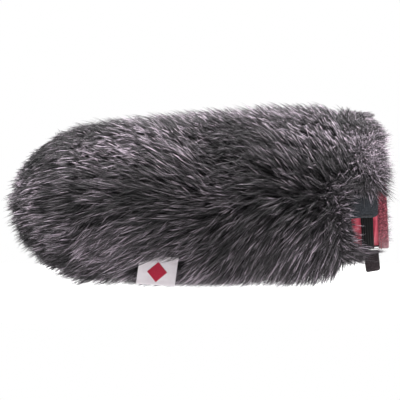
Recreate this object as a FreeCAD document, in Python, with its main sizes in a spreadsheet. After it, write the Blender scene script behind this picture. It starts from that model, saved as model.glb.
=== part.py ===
import FreeCAD, Part
import math
import os

import Sketcher
from FreeCAD import Placement, Rotation, Vector

# Furry windscreen for a microphone: a long-pile fur jacket over a foam core with a blind bore.
#
# Frame: the origin is the centre of the bore's mouth. The jacket lies on its side, so the axis of its
# fabric tube, which is also the bore's axis, rises by lie_tilt towards +X, where the jacket is open.
# +Z is up and -Y is the side with the strap and the label.
# Each piece is drawn about the tube's own axis (its X axis) and placed by its tilt and its turn about
# that axis. A turn is counted from -Y downwards: 0 faces the strap's side and 90 faces the ground.

DRIVING_DIMENSIONS = {
    # fabric tube, outside of the knitted backing
    "mouth_x": 14.0,
    "mouth_radius": 46.0,
    "shoulder_x": -194.0,
    "shoulder_radius": 42.5,
    "backing_thick": 1.2,
    "lining_thick": 2.0,
    "sewn_gap": 0.05,
    "loose_gap": 0.4,
    "panel_gap": 1.6,
    # foam core and the collar that grips the microphone
    "bore_radius": 10.5,
    "bore_depth": 150.0,
    "collar_radius": 24.0,
    "collar_length": 14.0,
    # woven hem round the mouth, with its elastic
    "hem_width": 5.4,
    "hem_fold": 1.6,
    "hem_thick": 1.1,
    "hem_gap": 0.1,
    "elastic_width": 2.4,
    "elastic_thick": 1.0,
    # slit window, with its satin facing
    "window_x": -10.0,
    "window_turn": 53.0,
    "window_sweep": 54.0,
    "facing_turn": 53.0,
    "facing_sweep": 53.8,
    # ribbed strap, its fastener tab and the patch that the tab grips
    "strap_x": 0.85,
    "strap_width": 8.9,
    "strap_thick": 1.2,
    "strap_turn": 51.5,
    "strap_sweep": 53.0,
    "patch_x": -3.5,
    "patch_width": 17.5,
    "patch_thick": 1.2,
    "patch_turn": 15.25,
    "patch_sweep": 14.5,
    "tab_x": -2.6,
    "tab_width": 23.2,
    "tab_thick": 1.2,
    "tab_turn": 19.75,
    "tab_sweep": 21.5,
    # bottom seam
    "seam_turn": 68.0,
    "seam_width": 3.0,
    "thread_thick": 0.6,
    "thread_sweep": 0.9,
    "stitch_size": 0.5,
    "stitch_length": 2.2,
    # folded pull loop under the mouth
    "pull_x": 3.3,
    "pull_width": 10.5,
    "pull_drop": 14.2,
    "pull_thick": 3.2,
    "pull_y": -2.5,
    "pull_root": 48.6,
    # label sewn into the bottom seam
    "label_x": -146.7,
    "label_width": 27.2,
    "label_drop": 20.1,
    "label_thick": 0.8,
    "label_y": -16.6,
    "label_root": 42.8,
    "label_lean": 7.0,
    "mark_thick": 0.3,
    "mark_size": 14.0,
    # fur pile
    "pile_end_x": 6.2,
    "floor_depth": 73.0,
    "strap_bay_x": -16.0,
    "pull_bay_x": -3.6,
    "bay_reach": 90.0,
    # how it lies
    "lie_tilt": 3.5,
}

# The pile's outer form: where along the tube, its radius, and how far its centre hangs below the axis.
BODY_PILE_SECTIONS = [
    (6.2, 49.5, 0.8),
    (-29.7, 61.5, 6.0),
    (-62.6, 65.2, 7.4),
    (-95.5, 64.6, 6.6),
    (-128.4, 62.4, 5.2),
    (-161.2, 59.4, 3.6),
    (-194.0, 56.0, 2.4),
]

STRAP_BAY_TURNS = (2.5, 86.0)
PULL_BAY_TURNS = (84.0, 124.0)
HEM_STITCHES = 84
LABEL_TACK_TURN = 65.6
LABEL_TACK_SWEEP = 2.4

doc = FreeCAD.newDocument("furry_windscreen")
sheet = doc.addObject("Spreadsheet::Sheet", "dims")
pieces = []


class Size:
    """A length or angle with its value and the spreadsheet expression that gives it."""

    def __init__(self, value, text):
        self.value = value
        self.text = text

    def _joined(self, other, value, sign):
        return Size(value, f"({self.text} {sign} {as_size(other).text})")

    def __add__(self, other):
        return self._joined(other, self.value + as_size(other).value, "+")

    def __sub__(self, other):
        return self._joined(other, self.value - as_size(other).value, "-")

    def __mul__(self, other):
        return self._joined(other, self.value * as_size(other).value, "*")

    def __truediv__(self, other):
        return self._joined(other, self.value / as_size(other).value, "/")

    def __neg__(self):
        return Size(-self.value, f"(0 - {self.text})")


def as_size(number):
    """The number itself if it is a Size, or a plain number as one."""
    return number if isinstance(number, Size) else Size(float(number), repr(float(number)))


def dim(alias):
    """The driving dimension of that name."""
    return Size(DRIVING_DIMENSIONS[alias], f"dims.{alias}")


def fill_sheet():
    """Writes the driving dimensions into the spreadsheet, one alias a row."""
    for row, (alias, value) in enumerate(DRIVING_DIMENSIONS.items(), start=1):
        sheet.set(f"A{row}", alias)
        sheet.set(f"B{row}", str(value))
        sheet.setAlias(f"B{row}", alias)
    doc.recompute()


# --- the fabric's form -------------------------------------------------------------------------------


def fabric_radius(x, depth=0.0):
    """The radius of the tapered tube at x, at a depth below the outside of the backing."""
    taper = (dim("mouth_radius") - dim("shoulder_radius")) / (dim("mouth_x") - dim("shoulder_x"))
    return dim("mouth_radius") - (dim("mouth_x") - as_size(x)) * taper - depth


def lining_depth():
    """Depth of the lining's outside."""
    return dim("backing_thick") + dim("sewn_gap")


def core_depth():
    """Depth of the core's outside."""
    return lining_depth() + dim("lining_thick") + dim("loose_gap")


# --- drawing helpers ---------------------------------------------------------------------------------


def placement_text(turn, lift=None):
    """The expression that tilts a piece and turns it about the tube's axis."""
    tilt = "placement(vector(0; 0; 0); rotation(vector(0; 1; 0); -dims.lie_tilt))"
    spin = f"placement(vector(0; 0; 0); rotation(vector(1; 0; 0); {as_size(turn).text}))"
    if lift is None:
        return f"{tilt} * {spin}"
    return f"{tilt} * {lift} * {spin}"


def new_body(label, turn=0.0, lift=None):
    """A PartDesign body with its own label and bound placement."""
    body = doc.addObject("PartDesign::Body", label)
    body.Label = label
    body.setExpression("Placement", placement_text(turn, lift))
    pieces.append(body)
    return body


def new_sketch(body, name, role, offset=0.0):
    """A sketch on one of the body's own origin planes, moved along that plane's normal."""
    sketch = body.newObject("Sketcher::SketchObject", f"{body.Label}_{name}")
    plane = next(item for item in body.Origin.OriginFeatures if item.Role == role)
    sketch.AttachmentSupport = [(plane, "")]
    sketch.MapMode = "FlatFace"
    shift = as_size(offset)
    sketch.AttachmentOffset = Placement(Vector(0, 0, shift.value), Rotation())
    sketch.setExpression("AttachmentOffset.Base.z", shift.text)
    return sketch


def draw_outline(sketch, corners, arcs=()):
    """Draws a closed outline through corners. arcs gives (first corner, radius, bulge) of rounded sides."""
    points = [(as_size(across), as_size(up)) for across, up in corners]
    radius_of = {index: (as_size(radius), bulge) for index, radius, bulge in arcs}
    count = len(points)
    start_handle = []
    end_handle = []
    for index in range(count):
        first = Vector(points[index][0].value, points[index][1].value, 0)
        after = points[(index + 1) % count]
        last = Vector(after[0].value, after[1].value, 0)
        if index not in radius_of:
            sketch.addGeometry(Part.LineSegment(first, last), False)
            start_handle.append((index, 1))
            end_handle.append((index, 2))
            continue
        radius, bulge = radius_of[index]
        sketch.addGeometry(Part.Arc(first, arc_middle(first, last, radius.value, bulge), last), False)
        near, far = (sketch.getPoint(index, end).distanceToPoint(first) for end in (1, 2))
        forward = near < far
        start_handle.append((index, 1 if forward else 2))
        end_handle.append((index, 2 if forward else 1))
    for index in range(count):
        joined = (index + 1) % count
        sketch.addConstraint(Sketcher.Constraint("Coincident", *end_handle[index], *start_handle[joined]))
    for index, (across, up) in enumerate(points):
        bind_distance(sketch, "DistanceX", start_handle[index], across)
        bind_distance(sketch, "DistanceY", start_handle[index], up)
    for index, (radius, _) in radius_of.items():
        number = sketch.addConstraint(Sketcher.Constraint("Radius", index, radius.value))
        sketch.setExpression(f"Constraints[{number}]", radius.text)


def arc_middle(first, last, radius, bulge):
    """The middle of the shorter arc from first to last, on the left (bulge 1) or right (-1) of that way."""
    chord = last - first
    half = chord.Length / 2
    rise = radius - math.sqrt(max(radius * radius - half * half, 0.0))
    left = Vector(-chord.y, chord.x, 0).normalize()
    return (first + last) * 0.5 + left * (rise * bulge)


def bind_distance(sketch, kind, handle, size):
    """Holds a point at a bound distance from the sketch's origin."""
    number = sketch.addConstraint(Sketcher.Constraint(kind, -1, 1, handle[0], handle[1], size.value))
    sketch.setExpression(f"Constraints[{number}]", size.text)


def revolve(body, sketch, sweep=360.0, cut=False):
    """Revolves a sketch about the tube's axis, half of the sweep each way, as a solid or as a cut."""
    kind = "Groove" if cut else "Revolution"
    feature = body.newObject(f"PartDesign::{kind}", f"{sketch.Label}_{kind.lower()}")
    feature.Profile = sketch
    feature.ReferenceAxis = (sketch, ["H_Axis"])
    feature.Midplane = True
    feature.setExpression("Angle", as_size(sweep).text)
    return feature


def extrude(body, sketch, length, cut=False):
    """Pads or pockets a sketch, half of the length to each side of it."""
    kind = "Pocket" if cut else "Pad"
    feature = body.newObject(f"PartDesign::{kind}", f"{sketch.Label}_{kind.lower()}")
    feature.Profile = sketch
    feature.Midplane = True
    feature.setExpression("Length", as_size(length).text)
    return feature


def ring_piece(label, low_x, high_x, inner, outer, sweep=360.0, turn=0.0):
    """A piece of the tube's wall: a square-edged ring, or the part of it about one turn."""
    body = new_body(label, as_size(turn) + 90.0)
    sketch = new_sketch(body, "section", "XZ_Plane")
    draw_outline(sketch, [(low_x, inner), (high_x, inner), (high_x, outer), (low_x, outer)])
    revolve(body, sketch, sweep)
    return body


def tapered_piece(label, low_x, high_x, outer_depth, inner_depth, sweep=360.0, turn=0.0):
    """A piece of the tube's wall that follows its taper, between two depths."""
    body = new_body(label, as_size(turn) + 90.0)
    sketch = new_sketch(body, "section", "XZ_Plane")
    corners = [
        (low_x, fabric_radius(low_x, inner_depth)),
        (high_x, fabric_radius(high_x, inner_depth)),
        (high_x, fabric_radius(high_x, outer_depth)),
        (low_x, fabric_radius(low_x, outer_depth)),
    ]
    draw_outline(sketch, corners)
    revolve(body, sketch, sweep)
    return body


def cut_sector(body, name, low_x, high_x, turns, turn_of_body=0.0, reach=None):
    """Cuts the stretch of a piece between two turns about the axis, from low_x to high_x."""
    length = as_size(high_x) - low_x
    sketch = new_sketch(body, name, "YZ_Plane", as_size(low_x) + length / 2)
    far = (dim("bay_reach") if reach is None else reach).value
    first, last = (math.radians(turn - turn_of_body) for turn in turns)
    middle = (first + last) / 2
    corners = [(0.0, 0.0)]
    for angle in (first, middle, last):
        stretch = far if angle != middle else far * 1.3
        corners.append((-stretch * math.cos(angle), -stretch * math.sin(angle)))
    draw_outline(sketch, corners)
    extrude(body, sketch, length, cut=True)


# --- the core ----------------------------------------------------------------------------------------


def make_foam_core():
    """Open-cell foam body with a domed nose, a blind bore and a seat for the collar."""
    body = new_body("foam_core")
    sketch = new_sketch(body, "profile", "XZ_Plane")
    depth = core_depth()
    dome = dim("shoulder_radius") - depth
    seat = dim("collar_radius") + dim("sewn_gap")
    seat_x = -dim("collar_length") - dim("sewn_gap")
    corners = [
        (0.0, seat),
        (0.0, fabric_radius(0.0, depth)),
        (dim("shoulder_x"), dome),
        (dim("shoulder_x") - dome, 0.0),
        (-dim("bore_depth"), 0.0),
        (-dim("bore_depth"), dim("bore_radius")),
        (seat_x, dim("bore_radius")),
        (seat_x, seat),
    ]
    draw_outline(sketch, corners, arcs=[(2, dome, -1)])
    revolve(body, sketch)


def make_grip_collar():
    """Soft rubber ring let into the core's rear face, whose bore grips the microphone."""
    body = new_body("grip_collar")
    sketch = new_sketch(body, "profile", "XZ_Plane")
    edge = 1.5
    corners = [
        (-dim("collar_length"), dim("bore_radius")),
        (0.0, dim("bore_radius")),
        (0.0, dim("collar_radius") - edge),
        (-edge, dim("collar_radius")),
        (-dim("collar_length"), dim("collar_radius")),
    ]
    draw_outline(sketch, corners, arcs=[(2, edge, -1)])
    revolve(body, sketch)


# --- the jacket's layers -----------------------------------------------------------------------------


def make_spacer_lining():
    """Sewn-in spacer mesh: one tube with a domed end, between the core and the backing."""
    body = new_body("spacer_lining")
    sketch = new_sketch(body, "profile", "XZ_Plane")
    outside = lining_depth()
    inside = outside + dim("lining_thick")
    rear_x = dim("mouth_x") - dim("hem_width") - 0.5
    outer_dome = dim("shoulder_radius") - outside
    inner_dome = dim("shoulder_radius") - inside
    corners = [
        (rear_x, fabric_radius(rear_x, outside)),
        (dim("shoulder_x"), outer_dome),
        (dim("shoulder_x") - outer_dome, 0.0),
        (dim("shoulder_x") - inner_dome, 0.0),
        (dim("shoulder_x"), inner_dome),
        (rear_x, fabric_radius(rear_x, inside)),
    ]
    draw_outline(sketch, corners, arcs=[(1, outer_dome, -1), (3, inner_dome, 1)])
    revolve(body, sketch)


def make_body_backing():
    """Knitted backing of the body panel, wrapped round and closed by the bottom seam."""
    turn = 180.0 + DRIVING_DIMENSIONS["seam_turn"]
    rear_x = dim("mouth_x") - dim("hem_fold") - dim("elastic_width")
    gap_sweep = seam_sweep() + 0.3
    low_x = dim("shoulder_x") + dim("panel_gap") / 2
    sweep = as_size(360.0) - gap_sweep
    body = tapered_piece("body_backing", low_x, rear_x, 0.0, dim("backing_thick"), sweep, turn)
    half = DRIVING_DIMENSIONS["window_sweep"] / 2
    centre = DRIVING_DIMENSIONS["window_turn"]
    turns = (centre - half, centre + half)
    window_end = dim("mouth_x") - dim("hem_width")
    cut_sector(body, "window", dim("window_x"), window_end, turns, turn + 90.0)


def seam_sweep():
    """The angle that the seam's width takes at the shoulder."""
    return dim("seam_width") / dim("shoulder_radius") * math.degrees(1.0)


def make_nose_backing():
    """Knitted backing of the domed nose panel."""
    body = new_body("nose_backing")
    sketch = new_sketch(body, "profile", "XZ_Plane")
    outer_dome = dim("shoulder_radius")
    inner_dome = outer_dome - dim("backing_thick")
    edge_x = dim("shoulder_x")
    flat_x = edge_x - dim("panel_gap") / 2
    corners = [
        (flat_x, dome_height(outer_dome)),
        (edge_x - outer_dome, 0.0),
        (edge_x - inner_dome, 0.0),
        (flat_x, dome_height(inner_dome)),
    ]
    draw_outline(sketch, corners, arcs=[(0, outer_dome, -1), (2, inner_dome, 1)])
    revolve(body, sketch)


def dome_height(radius):
    """The radius of a dome's circle where the nose panel starts."""
    half_gap = dim("panel_gap") / 2
    value = math.sqrt(radius.value**2 - half_gap.value**2)
    return Size(value, f"sqrt({radius.text}^2 - {half_gap.text}^2)")


def make_nose_seam():
    """Overlocked seam between the body panel and the nose panel."""
    half = dim("panel_gap") / 2 - dim("sewn_gap")
    low = dim("shoulder_radius") - dim("backing_thick") + 0.1
    high = dim("shoulder_radius") - 0.1
    ring_piece("nose_seam", dim("shoulder_x") - half, dim("shoulder_x") + half, low, high)


def make_bottom_seam():
    """Seam that closes the body panel, from the nose seam to the slit, and its thread."""
    low_x = dim("shoulder_x") + dim("panel_gap") / 2
    high_x = dim("window_x") - 0.2
    turn = dim("seam_turn")
    tapered_piece("bottom_seam", low_x, high_x, 0.0, dim("backing_thick"), seam_sweep(), turn)
    lift = -dim("sewn_gap") - dim("thread_thick")
    inset = 1.0
    tapered_piece("seam_thread", low_x + inset, high_x - inset, lift, -dim("sewn_gap"),
                  dim("thread_sweep"), turn)


def make_hem_binding():
    """Woven tape folded over the mouth's edge, inside and outside."""
    body = new_body("hem_binding")
    sketch = new_sketch(body, "profile", "XZ_Plane")
    outer = dim("mouth_radius") + dim("hem_gap")
    inner = fabric_radius(dim("mouth_x") - dim("hem_width"), dim("backing_thick") + dim("hem_gap"))
    low_x = dim("mouth_x") - dim("hem_width")
    end_x = dim("mouth_x") + dim("hem_fold")
    inside_x = dim("mouth_x") + dim("hem_fold") - dim("hem_thick")
    corners = [
        (low_x, outer),
        (inside_x, outer),
        (inside_x, inner),
        (low_x, inner),
        (low_x, inner - dim("hem_thick")),
        (end_x, inner - dim("hem_thick")),
        (end_x, outer + dim("hem_thick")),
        (low_x, outer + dim("hem_thick")),
    ]
    draw_outline(sketch, corners)
    revolve(body, sketch)


def make_hem_elastic():
    """Flat elastic inside the hem's fold, which draws the mouth in."""
    high_x = dim("mouth_x") + dim("hem_fold") - dim("hem_thick") - 0.2
    middle = dim("mouth_radius") - dim("backing_thick") / 2
    half = dim("elastic_thick") / 2
    ring_piece("hem_elastic", high_x - dim("elastic_width") + 0.3, high_x, middle - half, middle + half)


def make_hem_stitch():
    """Ring of separate stitches on the outside of the hem."""
    body = new_body("hem_stitch")
    sketch = new_sketch(body, "section", "XZ_Plane")
    low = dim("mouth_radius") + dim("sewn_gap") * 3 + dim("hem_thick")
    low_x = dim("mouth_x") - dim("hem_width") + 1.4
    high_x = low_x + dim("stitch_size")
    high = low + dim("stitch_size")
    draw_outline(sketch, [(low_x, low), (high_x, low), (high_x, high), (low_x, high)])
    pad = extrude(body, sketch, dim("stitch_length"))
    doc.recompute()
    pattern = body.newObject("PartDesign::PolarPattern", "hem_stitch_pattern")
    pattern.Originals = [pad]
    pattern.Axis = (sketch, ["H_Axis"])
    pattern.Angle = 360
    pattern.Occurrences = HEM_STITCHES
    body.Tip = pattern


def make_slit_facing():
    """Satin panel that closes the slit behind the strap."""
    low_x = dim("window_x") + 0.1
    high_x = dim("mouth_x") - dim("hem_width") - 0.1
    inner = dim("mouth_radius") - dim("backing_thick") + 0.1
    outer = dim("mouth_radius") - 0.4
    ring_piece("slit_facing", low_x, high_x, inner, outer, dim("facing_sweep"), dim("facing_turn"))


def make_loop_patch():
    """Loop side of the touch fastener, sewn to the backing above the slit."""
    half = dim("patch_width") / 2
    low = dim("mouth_radius") + 0.1
    high = low + dim("patch_thick")
    ring_piece("loop_patch", dim("patch_x") - half, dim("patch_x") + half, low, high,
               dim("patch_sweep"), dim("patch_turn"))


def make_anchor_stitches():
    """Bar tacks that hold the strap's lower end, the pull loop and the label."""
    low = dim("mouth_radius") + 0.2
    high = low + dim("patch_thick")
    half = dim("strap_width") / 2
    ring_piece("strap_anchor", dim("strap_x") - half, dim("strap_x") + half, low, high, 2.4, 81.4)
    pull_low = dim("pull_x") - dim("pull_width") / 2
    pull_high = dim("mouth_x") - dim("hem_width") - 0.3
    ring_piece("pull_anchor", pull_low, pull_high, low, high, 3.0, 87.2)
    body = new_body("label_stitch", 90.0 + LABEL_TACK_TURN)
    inset = dim("label_width") / 2 - 2.5
    for side, name in ((-1, "front_tack"), (1, "rear_tack")):
        centre_x = dim("label_x") + inset * side
        sketch = new_sketch(body, name, "XZ_Plane")
        low_x = centre_x - dim("stitch_length")
        high_x = centre_x + dim("stitch_length")
        low = fabric_radius(centre_x, -0.15)
        high = low + dim("stitch_size")
        draw_outline(sketch, [(low_x, low), (high_x, low), (high_x, high), (low_x, high)])
        revolve(body, sketch, LABEL_TACK_SWEEP)
        doc.recompute()


# --- strap, pull loop and label ----------------------------------------------------------------------


def make_strap():
    """Ribbed elastic strap across the slit, its fastener tab and the stitching that joins them."""
    low = dim("mouth_radius") + 0.5
    high = low + dim("strap_thick")
    half = dim("strap_width") / 2
    ring_piece("closing_strap", dim("strap_x") - half, dim("strap_x") + half, low, high,
               dim("strap_sweep"), dim("strap_turn"))
    tab_low = high + 0.1
    tab_high = tab_low + dim("tab_thick")
    half_tab = dim("tab_width") / 2
    ring_piece("hook_tab", dim("tab_x") - half_tab, dim("tab_x") + half_tab, tab_low, tab_high,
               dim("tab_sweep"), dim("tab_turn"))
    ring_piece("strap_stitch", dim("strap_x") - half + 1.0, dim("strap_x") + half - 1.0, tab_high + 0.05,
               tab_high + 0.05 + dim("stitch_size"), 1.2, 28.0)


def make_pull_tab():
    """Folded elastic loop that hangs from the mouth's edge."""
    body = new_body("pull_tab")
    sketch = new_sketch(body, "side", "YZ_Plane", dim("pull_x"))
    half = dim("pull_thick") / 2
    neck = dim("pull_thick") / 4
    middle = dim("pull_y")
    top = -dim("pull_root")
    bend = top - dim("pull_drop") + half
    shoulder = top - 3.0
    corners = [
        (middle - neck, top),
        (middle - half, shoulder),
        (middle - half, bend),
        (middle + half, bend),
        (middle + half, shoulder),
        (middle + neck, top),
    ]
    draw_outline(sketch, corners, arcs=[(2, half + 0.001, -1)])
    extrude(body, sketch, dim("pull_width"))
    slot = new_sketch(body, "fold", "YZ_Plane", dim("pull_x"))
    inner = 0.3
    corners = [
        (middle - inner, shoulder - 1.0),
        (middle - inner, bend),
        (middle + inner, bend),
        (middle + inner, shoulder - 1.0),
    ]
    draw_outline(slot, corners)
    extrude(body, slot, dim("pull_width") + 2.0, cut=True)


def label_lift():
    """Expression that puts a label piece at the seam and leans it a little."""
    place = "vector(dims.label_x; dims.label_y; -dims.label_root)"
    return f"placement({place}; rotation(vector(0; 1; 0); dims.label_lean))"


def make_label():
    """Folded woven label and the plain mark woven into it, drawn about the label's top edge."""
    body = new_body("label", 0.0, label_lift())
    sketch = new_sketch(body, "face", "XZ_Plane")
    half = dim("label_width") / 2
    drop = dim("label_drop")
    draw_outline(sketch, [(-half, -drop), (half, -drop), (half, 0.0), (-half, 0.0)])
    extrude(body, sketch, dim("label_thick"))
    mark = new_body("label_mark", 0.0, label_lift())
    face = dim("label_thick") / 2 + dim("sewn_gap") + dim("mark_thick") / 2
    sketch = new_sketch(mark, "face", "XZ_Plane", face)
    size = dim("mark_size")
    middle = -drop / 2 - 1.0
    corners = [
        (-size / 2, middle),
        (0.0, middle - size / 2),
        (size / 2, middle),
        (0.0, middle + size / 2),
    ]
    draw_outline(sketch, corners)
    extrude(mark, sketch, dim("mark_thick"))


# --- fur pile ----------------------------------------------------------------------------------------


def loft_sections(body, sections):
    """Lofts the pile's outer form through circles across the tube's axis."""
    rings = []
    for number, (x, radius, hang) in enumerate(sections):
        sketch = new_sketch(body, f"ring_{number}", "YZ_Plane", x)
        sketch.addGeometry(Part.Circle(Vector(0, -hang, 0), Vector(0, 0, 1), radius), False)
        bind_distance(sketch, "DistanceX", (0, 3), as_size(0.0))
        bind_distance(sketch, "DistanceY", (0, 3), as_size(-hang))
        constraint = sketch.addConstraint(Sketcher.Constraint("Radius", 0, radius))
        sketch.setExpression(f"Constraints[{constraint}]", repr(radius))
        rings.append(sketch)
    doc.recompute()
    loft = body.newObject("PartDesign::AdditiveLoft", f"{body.Label}_loft")
    loft.Profile = rings[0]
    loft.Sections = rings[1:]
    doc.recompute()


def cut_floor(body):
    """Flattens the pile where it rests: the ground is level, so it slopes across the tilted piece."""
    sketch = new_sketch(body, "ground", "XZ_Plane")
    slope = math.tan(math.radians(DRIVING_DIMENSIONS["lie_tilt"]))
    depth = DRIVING_DIMENSIONS["floor_depth"] / math.cos(math.radians(DRIVING_DIMENSIONS["lie_tilt"]))
    reach = 300.0
    corners = [
        (-reach, -depth + reach * slope),
        (-reach, -depth - reach),
        (reach, -depth - reach),
        (reach, -depth - reach * slope),
    ]
    draw_outline(sketch, corners)
    extrude(body, sketch, reach, cut=True)


def hollow_body_pile(body):
    """Cuts the tapered fabric tube out of the body's pile."""
    sketch = new_sketch(body, "hollow", "XZ_Plane")
    clear = -dim("sewn_gap")
    low_x = dim("shoulder_x") - 10.0
    high_x = dim("pile_end_x") + 10.0
    corners = [
        (low_x, 0.0),
        (high_x, 0.0),
        (high_x, fabric_radius(high_x, clear)),
        (low_x, fabric_radius(low_x, clear)),
    ]
    draw_outline(sketch, corners)
    revolve(body, sketch, cut=True)


def make_body_pile():
    """Long pile round the fabric tube, open at the strap, the pull loop and the label."""
    body = new_body("body_pile")
    loft_sections(body, BODY_PILE_SECTIONS)
    hollow_body_pile(body)
    cut_floor(body)
    past_end = dim("pile_end_x") + 5.0
    cut_sector(body, "strap_bay", dim("strap_bay_x"), past_end, STRAP_BAY_TURNS)
    cut_sector(body, "pull_bay", dim("pull_bay_x"), past_end, PULL_BAY_TURNS)
    cut_label_bay(body)
    cut_thread_channel(body)


def cut_label_bay(body):
    """Opens the pile in front of the label, so that it shows and can swing out."""
    beside, behind, above = 3.2, 2.2, 7.6
    lean = math.radians(DRIVING_DIMENSIONS["label_lean"])
    slant = dim("label_drop") * math.sin(lean)
    sketch = new_sketch(body, "label_bay", "YZ_Plane", dim("label_x") - slant / 2)
    inner_y = dim("label_y") + behind
    top_z = -dim("label_root") + above
    reach = dim("bay_reach")
    corners = [(inner_y, top_z), (inner_y, -reach), (-reach, -reach), (-reach, top_z)]
    draw_outline(sketch, corners)
    extrude(body, sketch, dim("label_width") + slant + beside, cut=True)


def cut_thread_channel(body):
    """Leaves room in the pile for the raised seam thread."""
    turn = DRIVING_DIMENSIONS["seam_turn"]
    reach = dim("shoulder_radius") + 4.6
    low_x = dim("shoulder_x") - 1.0
    cut_sector(body, "thread_channel", low_x, dim("window_x"), (turn - 0.8, turn + 0.8), reach=reach)


def make_nose_pile():
    """Long pile over the nose: a dome about the body pile's last centre, hollowed by the nose panel."""
    body = new_body("nose_pile")
    _, radius, hang = BODY_PILE_SECTIONS[-1]
    edge_x = dim("shoulder_x")
    outer = new_sketch(body, "dome", "XZ_Plane")
    corners = [(edge_x, -hang), (edge_x, radius - hang), (edge_x - radius, -hang)]
    draw_outline(outer, corners, arcs=[(1, radius, -1)])
    feature = revolve(body, outer)
    feature.ReferenceAxis = (outer, ["Edge3"])
    doc.recompute()
    sketch = new_sketch(body, "hollow", "XZ_Plane")
    dome = dim("shoulder_radius") + dim("sewn_gap")
    corners = [(edge_x + 5.0, 0.0), (edge_x + 5.0, dome), (edge_x, dome), (edge_x - dome, 0.0)]
    draw_outline(sketch, corners, arcs=[(2, dome, -1)])
    revolve(body, sketch, cut=True)


def check_and_write():
    """Stops on any failed object, then writes one STEP file for each piece."""
    doc.recompute()
    for item in doc.Objects:
        if "Invalid" in item.State or "Error" in item.State:
            raise RuntimeError(f"{item.Label} failed: {item.State}")
    for piece in pieces:
        if piece.Shape.isNull() or not piece.Shape.isValid():
            raise RuntimeError(f"{piece.Label} has no valid shape")
    os.makedirs("parts", exist_ok=True)
    for piece in pieces:
        piece.Shape.exportStep(f"parts/{piece.Label}.step")
        print(f"{piece.Label}: {len(piece.Shape.Solids)} solid(s), {piece.Shape.Volume / 1000:.2f} cm3")


fill_sheet()
make_foam_core()
make_grip_collar()
make_spacer_lining()
make_body_backing()
make_nose_backing()
make_nose_seam()
make_bottom_seam()
make_hem_binding()
make_hem_elastic()
make_hem_stitch()
make_slit_facing()
make_loop_patch()
make_anchor_stitches()
make_strap()
make_pull_tab()
make_label()
make_body_pile()
make_nose_pile()
check_and_write()
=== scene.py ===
import math

import bmesh
import bpy
import numpy as np
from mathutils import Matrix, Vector


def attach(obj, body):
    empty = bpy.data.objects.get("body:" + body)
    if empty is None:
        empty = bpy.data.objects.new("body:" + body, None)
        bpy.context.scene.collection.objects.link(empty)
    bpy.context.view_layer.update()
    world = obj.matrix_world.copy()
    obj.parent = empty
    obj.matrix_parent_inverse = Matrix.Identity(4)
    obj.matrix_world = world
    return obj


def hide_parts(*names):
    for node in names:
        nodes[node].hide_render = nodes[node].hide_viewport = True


# Looks of the furry windscreen. Shapes are worked out in millimetres in the fabric tube's own frame:
# x along the tube, r from its axis, and a turn about it, counted from -Y downwards (0 is the camera's
# side, 90 the ground). to_row() tilts them into the part's frame, in metres.

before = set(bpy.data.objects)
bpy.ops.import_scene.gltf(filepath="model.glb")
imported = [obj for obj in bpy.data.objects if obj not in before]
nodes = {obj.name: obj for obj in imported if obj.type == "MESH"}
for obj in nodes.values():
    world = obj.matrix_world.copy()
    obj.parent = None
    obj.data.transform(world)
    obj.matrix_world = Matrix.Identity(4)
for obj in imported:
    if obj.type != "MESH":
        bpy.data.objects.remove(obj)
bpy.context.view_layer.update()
rng = np.random.default_rng(7)

MM = 0.001
TILT = math.radians(3.5)
BAKE_UV = "OFBake"

# fabric tube
MOUTH_X, MOUTH_R = 14.0, 46.0
SHOULDER_X, SHOULDER_R = -194.0, 42.5
TAPER = (MOUTH_R - SHOULDER_R) / (MOUTH_X - SHOULDER_X)
BACKING, LINING, LOOSE_GAP = 1.2, 2.0, 0.4
LINING_DEPTH = BACKING + 0.05
HEM_X = (8.6, 15.6)
WINDOW_X = (-10.0, 8.6)
WINDOW_TURNS = (26.0, 80.0)

# pile
PILE_SECTIONS = np.array([
    (6.2, 49.5, 0.8),
    (-29.7, 61.5, 6.0),
    (-62.6, 65.2, 7.4),
    (-95.5, 64.6, 6.6),
    (-128.4, 62.4, 5.2),
    (-161.2, 59.4, 3.6),
    (-194.0, 56.0, 2.4),
])
NOSE_PILE_R, NOSE_HANG = 56.0, 2.4
FLOOR_Z = -74.8
PILE_END_X = 6.2
HAIR_R = 0.145
LOCKS_EACH, HAIRS_EACH = 6, 2

# strap: middle of its width, half its width, the turns that it spans; its hinge, and how far it peels
STRAP_X, STRAP_HALF, STRAP_TURNS = 0.85, 4.45, (25.0, 78.0)
HINGE_R, HINGE_TURN, PEEL = 47.1, 78.0, math.radians(60.0)

# radius of the hem's outside, and the least that hairs lying over it reach
HEM_R, OVER_HEM_R = 47.2, 47.4

# label and pull loop, hung at these places
LABEL_X, LABEL_Y, LABEL_TOP = -146.7, -16.6, -42.8
LABEL_W, LABEL_DROP, LABEL_LEAN, LABEL_SHEAR = 27.2, 20.1, math.radians(7.0), 1.6
PULL_X, PULL_Y, PULL_TOP = 3.3, -2.5, -48.6
PULL_W, PULL_DROP = 10.5, 14.2


# --- places ---


def unit(v):
    return v / np.clip(np.linalg.norm(v, axis=-1, keepdims=True), 1e-9, None)


def pack(*values):
    """Arrays of coordinates, side by side as one array of points."""
    return np.stack(values, axis=-1)


def outwards(points):
    """Directions straight out from the tube's axis."""
    return unit(points * np.array([0.0, 1.0, 1.0]))


def to_row(points):
    """Millimetres in the tube's frame to metres in the part's frame."""
    points = np.asarray(points, float)
    x, y, z = points[..., 0], points[..., 1], points[..., 2]
    c, s = math.cos(TILT), math.sin(TILT)
    return pack(x * c - z * s, y, x * s + z * c) * MM


def on_tube(x, r, turn):
    """A point of the tube's frame from its place along the tube, radius and turn in degrees."""
    x, r, turn = np.broadcast_arrays(np.asarray(x, float), r, np.radians(turn))
    return pack(x, -r * np.cos(turn), -r * np.sin(turn))


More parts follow.
